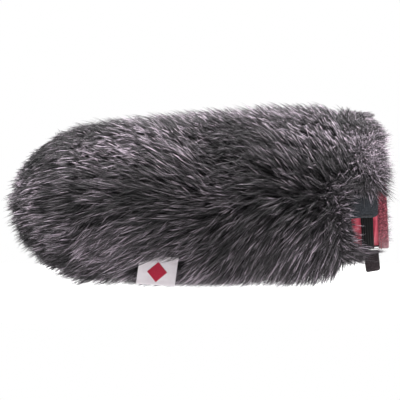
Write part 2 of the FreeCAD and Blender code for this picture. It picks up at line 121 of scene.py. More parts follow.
def fabric_r(x):
    """Radius of the fabric's outside: the tapered tube, then the nose's dome."""
    x = np.asarray(x, float)
    dome = np.sqrt(np.clip(SHOULDER_R**2 - (x - SHOULDER_X) ** 2, 0.0, None))
    return np.where(x < SHOULDER_X, dome, MOUTH_R - (MOUTH_X - x) * TAPER)


def slumped(points):
    """Points of the fabric and its fur, with the mouth's upper edge slumped back and down a little."""
    x, z = points[..., 0], points[..., 2]
    back = 9.0 * np.clip((z - 31.0) / 16.0, 0, 1) ** 1.5 * np.clip((x + 24.0) / 32.0, 0, 1)
    return pack(x - back, points[..., 1], z - 0.3 * back)


def pile_r(x, turn):
    """Radius of the pile's outside at x and a turn in degrees, flattened where it meets the floor."""
    x = np.asarray(x, float)
    t = np.radians(turn)
    order = PILE_SECTIONS[::-1]
    radius = np.interp(x, order[:, 0], order[:, 1])
    hang = np.interp(x, order[:, 0], order[:, 2])
    dome = np.sqrt(np.clip(NOSE_PILE_R**2 - (x - SHOULDER_X) ** 2, 0.0, None))
    radius = np.where(x < SHOULDER_X, dome, radius)
    reach = hang * np.sin(t) + np.sqrt(np.clip(radius**2 - (hang * np.cos(t)) ** 2, 0.0, None))
    down = np.clip(np.sin(t) * math.cos(TILT), 1e-3, None)
    floor = (-FLOOR_Z + x * math.sin(TILT)) / down
    return np.minimum(reach, np.where(np.sin(t) > 0, floor, 1e3))


def waves(points, scale, seed):
    """Smooth noise of about unit size over points, with features of about that scale in millimetres."""
    terms = 7
    source = np.random.default_rng(seed)
    total = np.zeros(points.shape[:-1])
    for _ in range(terms):
        way = source.normal(size=3)
        way *= source.uniform(0.6, 1.5) / (np.linalg.norm(way) * scale) * math.pi
        total += np.sin(points @ way + source.uniform(0, 2 * math.pi))
    return total / math.sqrt(terms / 2)


# --- meshes ---


def stands_for(piece, node):
    """Hides the CAD node that a piece replaces."""
    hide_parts(node)


def add_mesh(name, points, faces, body, material, uvs=None):
    """A piece from points in the part's frame and its faces' corners, an array for each face size."""
    corners = np.concatenate([f.ravel() for f in faces])
    sizes = np.concatenate([np.full(len(f), f.shape[1]) for f in faces])
    starts = np.concatenate([[0], np.cumsum(sizes)[:-1]])
    mesh = bpy.data.meshes.new(name)
    mesh.vertices.add(len(points))
    mesh.vertices.foreach_set("co", np.asarray(points, np.float32).ravel())
    mesh.loops.add(len(corners))
    mesh.loops.foreach_set("vertex_index", corners.astype(np.int32))
    mesh.polygons.add(len(sizes))
    mesh.polygons.foreach_set("loop_start", starts.astype(np.int32))
    mesh.polygons.foreach_set("use_smooth", np.full(len(sizes), True))
    if uvs is not None:
        layer = mesh.uv_layers.new(name=BAKE_UV)
        layer.data.foreach_set("uv", np.asarray(uvs, np.float32).ravel())
    mesh.update(calc_edges=True)
    mesh.validate()
    piece = bpy.data.objects.new(name, mesh)
    bpy.context.scene.collection.objects.link(piece)
    mesh.materials.append(material)
    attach(piece, body)
    return piece


def bundle(name, lines, radii, tones, body, material, sides=3, pointed=True):
    """Many tapered threads as one piece, each with a tone from 0 to 1 in its bake UVs.

    lines is (threads, points, 3) in the part's frame, and radii is in metres.
    """
    count, rings = lines.shape[:2]
    along = unit(np.gradient(lines, axis=1))
    lead = unit(rng.normal(size=(count, 1, 3)))
    side = unit(np.cross(along, lead))
    up = np.cross(along, side)
    angle = np.arange(sides) * 2 * math.pi / sides
    ring = side[:, :, None] * np.cos(angle)[:, None] + up[:, :, None] * np.sin(angle)[:, None]
    points = lines[:, :, None] + radii[:, :, None, None] * ring
    full = rings - 1 if pointed else rings
    stem = points[:, :full].reshape(count, full * sides, 3)
    if pointed:
        stem = np.concatenate([stem, lines[:, -1:]], axis=1)
    each = stem.shape[1]

    s = np.arange(sides)
    after = (s + 1) % sides
    k = np.arange(full - 1)[:, None] * sides
    quads = pack(k + s, k + after, k + sides + after, k + sides + s).reshape(-1, 4)
    root = s[::-1][None, :]
    base = (np.arange(count) * each)[:, None, None]
    faces = [(quads[None] + base).reshape(-1, 4), (root[None] + base).reshape(-1, sides)]
    last = (full - 1) * sides
    if pointed:
        tips = pack(last + s, last + after, np.full(sides, full * sides))
    else:
        tips = (last + s)[None, :]
    faces.append((tips[None] + base).reshape(-1, tips.shape[1]))

    strip = 1.0 / 48
    left = tones[:, None] * (1 - strip)
    t = np.linspace(0.0, 1.0, rings)
    across = pack(s, s + 1, s + 1, s)[None].repeat(full - 1, 0).reshape(-1, 4) / sides
    height = pack(t[:full - 1], t[:full - 1], t[1:full], t[1:full])
    height = height[:, None].repeat(sides, 1).reshape(-1, 4)

    def corners(u, v):
        flat_u = left[:, :, None] + strip * u[None]
        return pack(flat_u, np.broadcast_to(v[None], flat_u.shape)).reshape(-1, 2)

    cap = (s / sides)[None, :]
    uvs = [corners(across, height), corners(cap, np.zeros((1, sides)))]
    if pointed:
        uvs.append(corners(pack(s, s + 1, s + 0.5) / sides, np.tile([t[-2], t[-2], 1.0], (sides, 1))))
    else:
        uvs.append(corners(cap, np.ones((1, sides))))
    return add_mesh(name, stem.reshape(-1, 3), faces, body, material, np.concatenate(uvs))


def grid_faces(rows, columns, start=0, wrap=False, flip=False):
    """Quads between the points of a grid, numbered row by row; wrap joins the last column to the first."""
    r = np.arange(rows - 1)[:, None] * columns
    c = np.arange(columns if wrap else columns - 1)
    n = (c + 1) % columns
    quads = pack(r + c, r + n, r + columns + n, r + columns + c).reshape(-1, 4)
    return (quads[:, ::-1] if flip else quads) + start


def shell_arrays(outer, inner, wrap=False):
    """Points and faces of a closed sheet between two grids of points (rows, columns, 3)."""
    rows, columns = outer.shape[:2]
    half = rows * columns
    faces = [grid_faces(rows, columns, 0, wrap), grid_faces(rows, columns, half, wrap, flip=True)]

    def edge(ids, closed):
        a, b = ids, np.roll(ids, -1)
        if not closed:
            a, b = a[:-1], b[:-1]
        return pack(a, a + half, b + half, b)

    index = np.arange(half).reshape(rows, columns)
    faces += [edge(index[0], wrap), edge(index[-1], wrap)[:, ::-1]]
    if not wrap:
        faces += [edge(index[:, 0], False)[:, ::-1], edge(index[:, -1], False)]
    return np.concatenate([outer.reshape(-1, 3), inner.reshape(-1, 3)]), np.concatenate(faces)


def facing_out(points, faces):
    """The faces, turned over if they enclose a negative volume."""
    a, b, c, d = (points[faces[:, i]] for i in range(4))
    volume = (np.cross(b - a, c - a) * a).sum() + (np.cross(c - a, d - a) * a).sum()
    return faces[:, ::-1] if volume < 0 else faces


def shell(name, sheets, body, material):
    """A piece of one or more closed sheets, each a (outer grid, inner grid, wrap) in the tube's frame."""
    all_points, all_faces, start = [], [], 0
    for outer, inner, wrap in sheets:
        points, faces = shell_arrays(np.asarray(outer, float), np.asarray(inner, float), wrap)
        points = to_row(points)
        all_points.append(points)
        all_faces.append(facing_out(points, faces) + start)
        start += len(points)
    return add_mesh(name, np.concatenate(all_points), [np.concatenate(all_faces)], body, material)


def turned(name, profile, count, body, material, ripple):
    """A closed surface of revolution. profile is (n, 2) of x and r, and starts and ends on the axis."""
    turns = np.arange(count) * 360.0 / count
    points = ripple(on_tube(profile[:, :1], profile[:, 1:], turns[None, :]))
    flat = to_row(points).reshape(-1, 3)
    faces = facing_out(flat, grid_faces(len(profile), count, wrap=True))
    piece = add_mesh(name, flat, [faces], body, material)
    work = bmesh.new()
    work.from_mesh(piece.data)
    bmesh.ops.remove_doubles(work, verts=work.verts, dist=1e-6)
    work.to_mesh(piece.data)
    work.free()
    return piece


def stitches(name, node, ends, rise, thick=0.5, body="jacket", material=None):
    """A row of short thread loops for a CAD node, from two arrays of ends in the tube's frame.

    They stand up by rise in their middle, and are of the dark thread unless another is given.
    """
    starts, ends = ends
    t = np.linspace(0.0, 1.0, 5)
    out = outwards((starts + ends) / 2)
    lines = starts[:, None] + (ends - starts)[:, None] * t[None, :, None]
    lines = lines + out[:, None] * (rise * np.sin(math.pi * t))[None, :, None]
    swell = 0.55 + 0.45 * np.sin(math.pi * t)
    radii = np.broadcast_to(thick / 2 * swell * MM, lines.shape[:2])
    tones = rng.random(len(starts))
    row = bundle(name, to_row(lines), radii, tones, body, material or THREAD, sides=6, pointed=False)
    stands_for(row, node)


# --- materials ---


def add_node(tree, kind, **values):
    """A shader node. Each value is linked to the input of its name, or sets it, or sets the node."""
    made = tree.nodes.new("ShaderNode" + kind)
    for key, value in values.items():
        if key not in made.inputs:
            setattr(made, key, value)
        elif hasattr(value, "is_linked"):
            tree.links.new(value, made.inputs[key])
        else:
            made.inputs[key].default_value = value
    return made


class Finish:
    """A procedural material with its nodes."""

    def __init__(self, name, roughness=0.9, sheen=0.0, specular=0.5):
        self.material = bpy.data.materials.new(name)
        self.material.use_nodes = True
        self.tree = self.material.node_tree
        self.shader = self.tree.nodes["Principled BSDF"]
        for socket, value in (("Roughness", roughness), ("Sheen Weight", sheen), ("Sheen Roughness", 0.4),
                              ("Specular IOR Level", specular)):
            self.shader.inputs[socket].default_value = value

    def node(self, kind, **values):
        return add_node(self.tree, kind, **values)

    def place(self):
        """Object coordinates, in metres."""
        return self.node("TexCoord").outputs["Object"]

    def axes(self):
        """Object coordinates, one by one."""
        return self.node("SeparateXYZ", Vector=self.place()).outputs

    def noise(self, scale, detail):
        return self.node("TexNoise", Vector=self.place(), Scale=scale, Detail=detail).outputs["Fac"]

    def ramp(self, factor, *stops):
        made = self.node("ValToRGB", Fac=factor)
        elements = made.color_ramp.elements
        while len(elements) < len(stops):
            elements.new(0.5)
        for element, (position, colour) in zip(elements, stops):
            element.position = position
            element.color = (*colour, 1.0)
        return made.outputs["Color"]

    def product(self, first, second):
        """Two colours, multiplied."""
        made = self.node("Mix", data_type="RGBA", blend_type="MULTIPLY", clamp_result=True)
        sockets = {socket.name: socket for socket in made.inputs if socket.enabled}
        sockets["Factor"].default_value = 1.0
        self.tree.links.new(first, sockets["A"])
        self.tree.links.new(second, sockets["B"])
        return next(socket for socket in made.outputs if socket.enabled)

    def colour(self, output):
        self.tree.links.new(output, self.shader.inputs["Base Color"])
        return self.material

    def show(self, relief, distance, strength, pattern, *stops):
        """The material, with bumps from one pattern and the colours of another."""
        made = self.node("Bump", Height=relief, Distance=distance, Strength=strength)
        self.tree.links.new(made.outputs["Normal"], self.shader.inputs["Normal"])
        return self.colour(self.ramp(pattern, *stops))

    def math(self, kind, *values):
        made = self.node("Math", operation=kind)
        for value, socket in zip(values, made.inputs):
            if hasattr(value, "is_linked"):
                self.tree.links.new(value, socket)
            else:
                socket.default_value = value
        return made.outputs["Value"]

    def sum(self, first, first_share, second, second_share):
        """Two patterns added, each times its share."""
        parts = (self.math("MULTIPLY", *part) for part in ((first, first_share), (second, second_share)))
        return self.math("ADD", *parts)

    def rows(self, source, scale):
        """Fine rows, by the sine of a coordinate."""
        return self.math("SINE", self.math("MULTIPLY", source, scale))

    def bands(self, scale, way, distort):
        """Even stripes across an axis, for ribs and threads."""
        return self.node("TexWave", wave_type="BANDS", bands_direction=way, Vector=self.place(), Scale=scale,
                         Distortion=distort).outputs["Fac"]


def fur_finish():
    """Pile: dark at the root and silver at the tip, with a tone of its own for each hair."""
    made = Finish("fur_pile", roughness=0.42, sheen=0.08, specular=0.5)
    uv = made.node("SeparateXYZ", Vector=made.node("UVMap", uv_map=BAKE_UV).outputs["UV"]).outputs
    tip = (0.234, 0.208, 0.229)
    length = made.ramp(uv["Y"], (0.0, (0.010, 0.009, 0.010)), (0.55, (0.024, 0.022, 0.025)),
                       (0.85, tip), (1.0, tip))
    tone = made.ramp(uv["X"], (0.0, (0.05, 0.05, 0.052)), (0.35, (0.30, 0.29, 0.30)),
                     (0.7, (1.10, 1.07, 1.10)), (1.0, (4.8, 4.5, 4.8)))
    return made.colour(made.product(length, tone))


def weave_finish(name, dark, light, threads, depth):
    """Woven or knitted cloth: crossing threads with an uneven dye."""
    made = Finish(name, roughness=0.85, sheen=0.3, specular=0.3)
    cross = made.math("MULTIPLY", made.bands(threads, "X", 0.6), made.bands(threads, "Z", 0.6))
    mixed = made.sum(cross, 0.5, made.noise(900.0, 4.0), 0.6)
    return made.show(cross, depth, 0.7, mixed, (0.2, dark), (0.75, light))


def thread_finish(name, dark, light, roughness=0.7):
    """Twisted sewing thread."""
    made = Finish(name, roughness=roughness, sheen=0.2, specular=0.4)
    ply = made.bands(1400.0, "DIAGONAL", 1.0)
    return made.show(ply, 0.0001, 0.5, ply, (0.1, dark), (0.9, light))


def hem_finish():
    """Dark red woven tape, speckled where its pale weft shows."""
    made = Finish("hem_tape", roughness=0.8, sheen=0.3, specular=0.35)
    place = made.axes()
    around = made.math("ARCTAN2", place["Y"], place["Z"])
    weave = made.math("MULTIPLY", made.rows(around, 420.0), made.rows(place["X"], 6800.0))
    cross = made.math("ADD", made.math("MULTIPLY", weave, 0.25), 0.5)
    mixed = made.sum(cross, 0.30, made.noise(1100.0, 3.0), 0.85)
    return made.show(cross, 0.0003, 0.8, mixed, (0.46, (0.012, 0.002, 0.005)), (0.58, (0.130, 0.009, 0.022)),
                     (0.74, (0.420, 0.110, 0.150)))


def rowed_finish(name, roughness, sheen, specular, axis, rows, share, soil, *stops):
    """Smooth cloth with fine rows along one axis and an uneven dye: satin, or a woven label."""
    made = Finish(name, roughness, sheen, specular)
    fine = made.rows(made.axes()[axis], rows)
    mixed = made.math("ADD", made.math("MULTIPLY", fine, share), made.noise(soil, 3.0))
    return made.show(fine, 0.00006, 0.5, mixed, *stops)


def elastic_finish(name, dark, light):
    """Black knitted elastic: fine threads across the ribs."""
    made = Finish(name, roughness=0.6, sheen=0.0, specular=0.12)
    cross = made.bands(900.0, "Z", 0.4)
    mixed = made.sum(cross, 0.4, made.noise(700.0, 4.0), 0.6)
    return made.show(cross, 0.0001, 0.6, mixed, (0.25, dark), (0.8, light))


def fastener_finish(name, dark, light):
    """Touch fastener: a felted dark ground."""
    made = Finish(name, roughness=0.88, sheen=0.12, specular=0.25)
    lint = made.noise(1300.0, 5.0)
    return made.show(lint, 0.0003, 0.8, lint, (0.3, dark), (0.7, light))


def foam_finish():
    """Open-cell foam: small dark pores."""
    made = Finish("open_cell_foam", roughness=0.95, specular=0.15)
    distance = made.node("TexVoronoi", Vector=made.place(), Scale=900.0).outputs["Distance"]
    return made.show(distance, 0.0006, 0.9, distance,
                     (0.15, (0.008, 0.008, 0.009)), (0.6, (0.050, 0.050, 0.054)))


def rubber_finish():
    """Soft matt rubber with a little bloom."""
    made = Finish("soft_rubber", roughness=0.62, specular=0.4)
    return made.show(made.noise(2600.0, 2.0), 0.00005, 0.5, made.noise(120.0, 4.0),
                     (0.3, (0.018, 0.018, 0.019)), (0.7, (0.034, 0.034, 0.037)))


FUR = fur_finish()
KNIT = weave_finish("knit_backing", (0.020, 0.018, 0.021), (0.060, 0.055, 0.062), 420.0, 0.0004)
MESH_CLOTH = weave_finish("spacer_mesh", (0.012, 0.012, 0.013), (0.055, 0.055, 0.060), 260.0, 0.0008)
THREAD = thread_finish("dark_thread", (0.015, 0.014, 0.016), (0.075, 0.070, 0.075))
RED_THREAD = thread_finish("red_thread", (0.12, 0.008, 0.018), (0.34, 0.030, 0.050))
MARK_THREAD = thread_finish("mark_thread", (0.42, 0.008, 0.040), (0.72, 0.030, 0.085), roughness=0.5)
HEM = hem_finish()
SATIN = rowed_finish("satin", 0.42, 0.15, 0.6, "X", 9000.0, 0.08, 160.0,
                     (0.25, (0.42, 0.025, 0.060)), (0.75, (0.66, 0.070, 0.120)))
ELASTIC = elastic_finish("ribbed_elastic", (0.0012, 0.0012, 0.0012), (0.005, 0.0046, 0.005))
WORN_ELASTIC = elastic_finish("worn_elastic", (0.006, 0.005, 0.0055), (0.085, 0.066, 0.072))
HOOK = fastener_finish("hook_fastener", (0.008, 0.009, 0.012), (0.040, 0.044, 0.052))
LOOP = fastener_finish("loop_fastener", (0.007, 0.008, 0.010), (0.028, 0.030, 0.034))
FOAM = foam_finish()
RUBBER = rubber_finish()
LABEL = rowed_finish("woven_label", 0.55, 0.2, 0.4, "Z", 11000.0, 0.10, 130.0,
                     (0.2, (0.80, 0.72, 0.77)), (0.7, (0.95, 0.89, 0.93)))


# --- fabric under the pile ---


def tube_grid(x, depth, turns):
    """Points of the fabric tube, at a depth in its wall: rows along x, columns by turn."""
    return on_tube(x[:, None], fabric_r(x)[:, None] - depth, turns[None, :])


def dome_grid(radius, polar, turns):
    """Points of the nose's dome: rows by angle from its pole, columns by turn."""
    x, r = SHOULDER_X - radius * np.cos(polar), radius * np.sin(polar)
    return on_tube(x[:, None], r[:, None], turns[None, :])


def make_backing():
    """Knitted backing: the body's tube, the band round the mouth beside the slit, and the nose's dome."""
    turns = np.arange(0.0, 360.0, 2.0)
    x = np.linspace(-193.2, WINDOW_X[0], 46)
    band_x = np.linspace(WINDOW_X[0], 10.0, 8)
    band_turns = np.linspace(WINDOW_TURNS[1], WINDOW_TURNS[0] + 360.0, 150)
    sheets = []
    for places, round_tube, wrap in ((x, turns, True), (band_x, band_turns, False)):
        sheets.append((*(slumped(tube_grid(places, depth, round_tube)) for depth in (0.0, BACKING)), wrap))
    tube = shell("backing_knit", sheets, "jacket", KNIT)
    stands_for(tube, "body_backing")

    polar = np.radians(np.linspace(0.3, 88.9, 32))
    walls = (dome_grid(radius, polar, turns) for radius in (SHOULDER_R, SHOULDER_R - BACKING))
    dome = shell("nose_knit", [(*walls, True)], "jacket", KNIT)
    stands_for(dome, "nose_backing")


def make_lining():
    """Spacer mesh: one tube with a domed end, dimpled like its honeycomb."""
    turns = np.arange(0.0, 360.0, 1.5)
    x = np.linspace(8.1, SHOULDER_X, 92)
    polar = np.radians(np.linspace(89.0, 0.4, 28))

    def wall(depth, dimple):
        points = np.concatenate([tube_grid(x, depth, turns), dome_grid(SHOULDER_R - depth, polar, turns)])
        cells = np.sin(points[..., :1] * 1.4) * np.sin(np.radians(turns)[None, :, None] * 60.0)
        return slumped(points + outwards(points) * dimple * cells)

    sheet = (wall(LINING_DEPTH, 0.0), wall(LINING_DEPTH + LINING, 0.12), True)
    piece = shell("spacer_mesh_lining", [sheet], "jacket", MESH_CLOTH)
    stands_for(piece, "spacer_lining")


def make_core():
    """Foam core: a domed plug with softened edges, the blind bore, and the seat of the collar."""
    depth = LINING_DEPTH + LINING + LOOSE_GAP
    dome = SHOULDER_R - depth
    seat_r, seat_x, bore_r, bore_x, soft = 24.05, -14.05, 10.5, -150.0, 1.6
    rear_r = MOUTH_R - MOUTH_X * TAPER - depth
    corner = np.radians(np.linspace(0.0, 90.0, 6))
    side_x = np.linspace(-6.0, SHOULDER_X, 60)
    arc = np.radians(np.linspace(88.0, 0.0, 30))
    profile = np.concatenate([
        [(bore_x, 0.0), (bore_x, bore_r * 0.5), (bore_x, bore_r)],
        pack(np.linspace(bore_x + 6, seat_x, 26), np.full(26, bore_r)),
        [(seat_x, seat_r), (seat_x / 2, seat_r), (-0.6, seat_r), (0.0, seat_r + 0.6)],
        pack(np.zeros(8), np.linspace(seat_r + 2, rear_r - soft - 1, 8)),
        pack(-soft + soft * np.cos(corner), rear_r - soft + soft * np.sin(corner)),
        pack(side_x, fabric_r(side_x) - depth),
        pack(SHOULDER_X - dome * np.cos(arc), dome * np.sin(arc)),
    ])
    profile[-1, 1] = 0.0

    def uneven(points):
        r = np.linalg.norm(points[..., 1:], axis=-1)
        free = ((r > seat_r + 3) | (points[..., 0] < SHOULDER_X)).astype(float)
        return points - outwards(points) * (0.12 + 0.10 * waves(points, 9.0, 21))[..., None] * free[..., None]

    piece = turned("foam_body", profile, 144, "core", FOAM, uneven)
    stands_for(piece, "foam_core")


def make_seams():
    """Threads of the seams under the pile."""
    count = 132
    turn = np.arange(count) * 360.0 / count
    zig = np.where(np.arange(count) % 2 == 0, 1.0, -1.0) * 0.9
    pairs = ((-zig, turn), (zig, turn + 360.0 / count))
    ends = (on_tube(SHOULDER_X + off, SHOULDER_R + 0.05, at) for off, at in pairs)
    stitches("overlock_thread", "nose_seam", ends, 0.25)
    x = np.arange(-190.0, -13.0, 3.0)
    ends = (on_tube(place, fabric_r(place) + 0.2, 68.0) for place in (x, x + 2.4))
    stitches("seam_stitches", "seam_thread", ends, 0.2)


# --- mouth: hem, slit, strap and pull loop ---


def make_hem():
    """Woven tape folded over the mouth's edge, a little puckered by the elastic in its fold."""
    outer, inner, thick = 46.1, 44.61, 1.1
    bend = (outer + thick - (inner - thick)) / 2
    middle = (outer + thick + inner - thick) / 2
    arc = np.radians(np.linspace(90.0, -90.0, 13))
    x_fold = HEM_X[1] - 1.0
    legs_x = np.linspace(HEM_X[0], x_fold - 0.6, 10)
    turns = np.arange(0.0, 360.0, 1.0)
    pucker = 0.16 * np.sin(np.radians(turns) * 46) + 0.10 * np.sin(np.radians(turns) * 17 + 1.0)

    def wall(outer_r, inner_r, fold_x, corner, bend_r):
        profile = np.concatenate([
            pack(legs_x, np.full(10, outer_r)),
            pack(fold_x + corner * np.cos(arc), middle + bend_r * np.sin(arc)),
            pack(legs_x[::-1], np.full(10, inner_r)),
        ])
        edge = np.clip((profile[:, :1] - HEM_X[0]) / 6.0, 0, 1)
        swell = 0.5 * pucker[None, :] * edge
        return slumped(on_tube(profile[:, :1] + swell, profile[:, 1:] + swell, turns[None, :]))

    outside = wall(outer + thick, inner - thick, x_fold, 1.0, bend)
    inside = wall(outer, inner, x_fold - 0.2, 0.2, bend - thick)
    piece = shell("hem_tape", [(outside, inside, True)], "jacket", HEM)
    stands_for(piece, "hem_binding")

    count = 84
    turn = np.arange(count) * 360.0 / count
    ends = (slumped(on_tube(HEM_X[0] + 1.65, 47.3, place)) for place in (turn, turn + 2.7))
    stitches("hem_stitches", "hem_stitch", ends, 0.22, material=RED_THREAD)

    along, round_mouth = np.meshgrid(np.linspace(12.2, 14.3, 9), np.arange(0.0, 360.0, 1.5), indexing="ij")
    ribs = 0.06 * np.cos((along - 12.2) * 2 * math.pi / 0.7)
    walls = (slumped(on_tube(along, r, round_mouth)) for r in (45.84 + ribs, 44.96 - ribs))
    stands_for(shell("mouth_elastic", [(*walls, True)], "jacket", ELASTIC), "hem_elastic")


def make_facing():
    """Satin behind the slit, gathered into soft folds."""
    x = np.linspace(WINDOW_X[0] + 0.1, WINDOW_X[1] - 0.1, 44)
    turns = np.linspace(WINDOW_TURNS[0] + 0.1, WINDOW_TURNS[1] - 0.1, 90)
    grid_x, grid_turn = np.meshgrid(x, turns, indexing="ij")
    held = np.sin(math.pi * (grid_turn - turns[0]) / (turns[-1] - turns[0])) ** 0.5
    slant = np.radians(grid_turn - 53.0) * 5.0
    folds = 0.42 * np.sin((grid_x + slant) * 1.25) + 0.22 * np.sin((grid_x - 2 * slant) * 0.6 + 1.0)
    r = 45.15 + held * folds
    walls = (on_tube(grid_x, place, grid_turn) for place in (r + 0.2, r - 0.2))
    piece = shell("satin_facing", [(*walls, False)], "jacket", SATIN)
    stands_for(piece, "slit_facing")


def ribbed(across, ribs, depth):
    """Height of lengthwise ribs across a band, from 0 at one edge to 1 at the other."""
    return depth * np.abs(np.sin(across * math.pi * ribs))


def make_strap():
    """Ribbed elastic strap with its fastener tab and stitching, and the patch that the tab grips."""
    low_turn, high_turn = STRAP_TURNS
    share = np.linspace(0.0, 1.0, 73)
    grid_share, grid_turn = np.meshgrid(share, np.linspace(low_turn, high_turn, 64), indexing="ij")
    waist = 1.0 - 0.05 * np.sin(math.pi * (grid_turn - low_turn) / (high_turn - low_turn))
    x = STRAP_X + (grid_share - 0.5) * 2 * STRAP_HALF * waist
    rise = ribbed(grid_share, 5, 0.42)
    walls = (on_tube(x, r, grid_turn) for r in (47.38 + rise, 46.75 - rise * 0.5))
    stands_for(shell("ribbed_strap", [(*walls, False)], "strap", ELASTIC), "closing_strap")

    patch("fastener_tab", "hook_tab", (-14.2, 9.0), (9.0, 30.5), 47.85, 48.95, 4.2, "strap", HOOK)
    patch("loop_patch_felt", "loop_patch", (-12.25, 5.25), (8.0, 22.5), 46.15, 47.1, 2.0, "jacket", LOOP)

    for name, node, places, r, turns, rise, thick, body in (
        ("strap_stitches", "strap_stitch", (-2.6, 4.3, 12), 49.1, (27.6, 28.9), 0.2, 0.42, "strap"),
        ("strap_bartack", "strap_anchor", (-3.2, 4.9, 17), 46.75, (80.3, 82.5), 0.5, 0.45, "jacket"),
        ("pull_bartack", "pull_anchor", (-1.2, 8.0, 17), 46.75, (85.9, 88.5), 0.5, 0.45, "jacket"),
    ):
        stitches(name, node, (on_tube(np.linspace(*places), r, turn) for turn in turns), rise, thick, body)


def patch(name, node, x_range, turn_range, low, high, corner, body, material):
    """A felted patch on the tube with rounded corners and a softened edge."""
    share = np.linspace(0.0, 1.0, 34)
    u, v = np.meshgrid(share, share, indexing="ij")
    width = x_range[1] - x_range[0]
    length = math.radians(turn_range[1] - turn_range[0]) * high
    a, b = (u - 0.5) * width, (v - 0.5) * length
    for _ in range(2):
        over_a = np.clip(np.abs(a) - (width / 2 - corner), 0, None)
        over_b = np.clip(np.abs(b) - (length / 2 - corner), 0, None)
        far = np.hypot(over_a, over_b)
        pull = np.where(far > corner, corner / np.clip(far, 1e-6, None), 1.0)
        a = np.where(far > corner, np.sign(a) * (np.abs(a) - over_a * (1 - pull)), a)
        b = np.where(far > corner, np.sign(b) * (np.abs(b) - over_b * (1 - pull)), b)
    x = (x_range[0] + x_range[1]) / 2 + a
    turn = (turn_range[0] + turn_range[1]) / 2 + np.degrees(b / high)
    edge = np.minimum.reduce([u, 1 - u, v, 1 - v])
    round_off = 0.35 * (1 - np.clip(edge / 0.09, 0, 1)) ** 2
    felt = 0.10 * waves(on_tube(x, high, turn), 1.6, 5)
    outer = on_tube(x, high - round_off + felt * np.clip(edge / 0.09, 0, 1) - 0.08, turn)
    piece = shell(name, [(outer, on_tube(x, low + round_off * 0.4, turn), False)], body, material)
    stands_for(piece, node)


def make_pull_loop():
    """Folded elastic loop: one ribbed band down, round its fold and up again."""
    share = np.linspace(0.0, 1.0, 64)
    half = 1.15
    drop = PULL_DROP - half - 0.45
    down = np.linspace(0.0, drop, 22)
    fold = np.radians(np.linspace(0.0, 180.0, 15))
    neck = 0.55 + (half - 0.55) * np.clip(down / 6.0, 0, 1) ** 0.8
    line = np.concatenate([
        pack(-neck, -down),
        pack(-half * np.cos(fold), -drop - half * np.sin(fold))[1:-1],
        pack(neck[::-1], -down[::-1]),
    ])
    along = unit(np.gradient(line, axis=0))
    out = pack(along[:, 1], -along[:, 0])
    x = PULL_X + (share - 0.5) * (PULL_W - 0.2)
    rise = ribbed(share, 9, 0.22)
    corner = 1.5 * np.clip(np.abs(share - 0.5) * 2 - 0.72, 0, None) ** 2 / 0.28**2

    def wall(offset, ribs_share):
        away = offset + ribs_share * rise
        y, z = (line[:, None, i] + out[:, None, i] * away[None, :] for i in (0, 1))
        depth = (-line[:, 1] / PULL_DROP)[:, None]
        z = z + corner[None, :] * depth**2 + 1.1 * (share[None, :] - 0.5) * depth**2
        return pack(x[None, :] + 0.5 * depth**2 - 0.2, PULL_Y + y, PULL_TOP + z)

    sign = 1.0 if out[0, 0] < 0 else -1.0
    sheet = (wall(sign * 0.30, sign), wall(-sign * 0.22, -sign * 0.3), False)
    piece = shell("pull_loop_band", [sheet], "pull_loop", WORN_ELASTIC)
    stands_for(piece, "pull_tab")


def make_label():
    """White woven label folded double, with a plain diamond of thread on its face."""
    c, s = math.cos(LABEL_LEAN), math.sin(LABEL_LEAN)

    def hang(a, b, out):
        """A point of the label: a across it, b down it, and out from its face, in the tube's frame."""
        x = LABEL_X + a * c - b * s + LABEL_SHEAR * (1 - b / LABEL_DROP)
        return pack(x, np.broadcast_to(LABEL_Y - out, x.shape), LABEL_TOP - b * c - a * s)

    def sway(a, b):
        return 0.16 * np.sin(a * 0.21 + 0.6) * (b / LABEL_DROP)

    across = np.linspace(-0.5, 0.5, 50) * LABEL_W
    a, b = np.meshgrid(across, np.linspace(0.0, LABEL_DROP, 36), indexing="ij")
    fold = np.clip((b - LABEL_DROP + 0.5) / 0.5, 0, 1)
    thick = 0.34 * np.sqrt(np.clip(1 - fold**2 * 0.85, 0, 1))
    front = hang(a, b, sway(a, b) + thick + 0.03 * np.sin(b * 9.0))
    piece = shell("woven_label", [(front, hang(a, b, sway(a, b) - thick), False)], "seam_label", LABEL)
    stands_for(piece, "label")

    size = 7.0
    rows = np.arange(-size + 0.25, size, 0.42)
    t = np.linspace(-1.0, 1.0, 7)
    line_a = (size - np.abs(rows))[:, None] * t[None, :]
    line_b = LABEL_DROP / 2 + 1.0 + np.broadcast_to(rows[:, None], line_a.shape)
    lift = sway(line_a, line_b) + 0.42 + 0.10 * (1 - t[None, :] ** 2)
    lines = to_row(hang(line_a, line_b, lift))
    radii = np.full(lines.shape[:2], 0.24 * MM)
    tones = rng.random(len(rows))
    mark = bundle("diamond_mark", lines, radii, tones, "seam_label", MARK_THREAD, sides=6, pointed=False)
    stands_for(mark, "label_mark")

    inset = LABEL_W / 2 - 2.5
    x = np.concatenate([LABEL_X + side * inset + np.linspace(-2.0, 2.0, 8) for side in (-1, 1)])
    ends = (on_tube(x, fabric_r(x) + 0.3, turn) for turn in (64.6, 66.6))
    stitches("label_tacks", "label_stitch", ends, 0.25, 0.42)


# --- fur ---

# Where no hair grows: from this x towards the mouth, between two turns.
STRAP_BAY, PULL_BAY = (-16.0, 2.5, 86.0), (-3.6, 84.0, 124.0)
# The parted fur in front of the label: x from and to, and the furthest y and z.
PARTED_X, PARTED_Y, PARTED_Z = (-162.0, -129.5), -14.0, -57.0
TUFT_GAP, NOSE_TUFTS, RIM_TUFTS, HEM_TUFTS, BAY_TUFTS, STRAYS = 2.75, 1250, 1800, 560, 460, 700
HAIR_TURN_R = 44.0


